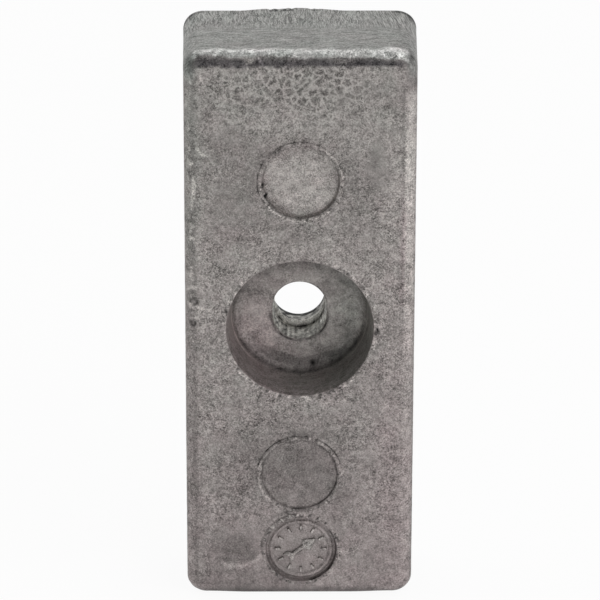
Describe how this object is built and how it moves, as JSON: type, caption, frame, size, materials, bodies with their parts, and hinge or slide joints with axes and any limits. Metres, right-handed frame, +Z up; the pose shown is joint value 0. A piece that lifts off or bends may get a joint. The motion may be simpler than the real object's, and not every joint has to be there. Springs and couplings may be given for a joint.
{
  "type": "sacrificial anode",
  "caption": "Cast aluminium block anode, upright, with a deep drafted counterbore, a stepped bolt hole and round mould insert marks on its front face.",
  "frame": {"origin": "under the middle of the block, on the square end that it stands on", "axes": "+Z up the block's length towards the ground gate end, +X to the right seen from the front, -Y out of the front face with the counterbore, +Y out of the flat mounting face"},
  "size_m": [0.031, 0.0128, 0.0814],
  "materials": {
    "cast_aluminium": "as-cast aluminium alloy, dull and mottled with oxide, ground bright on one end"
  },
  "bodies": {
    "root": {"anode": "cast_aluminium"}
  },
  "joints": []
}
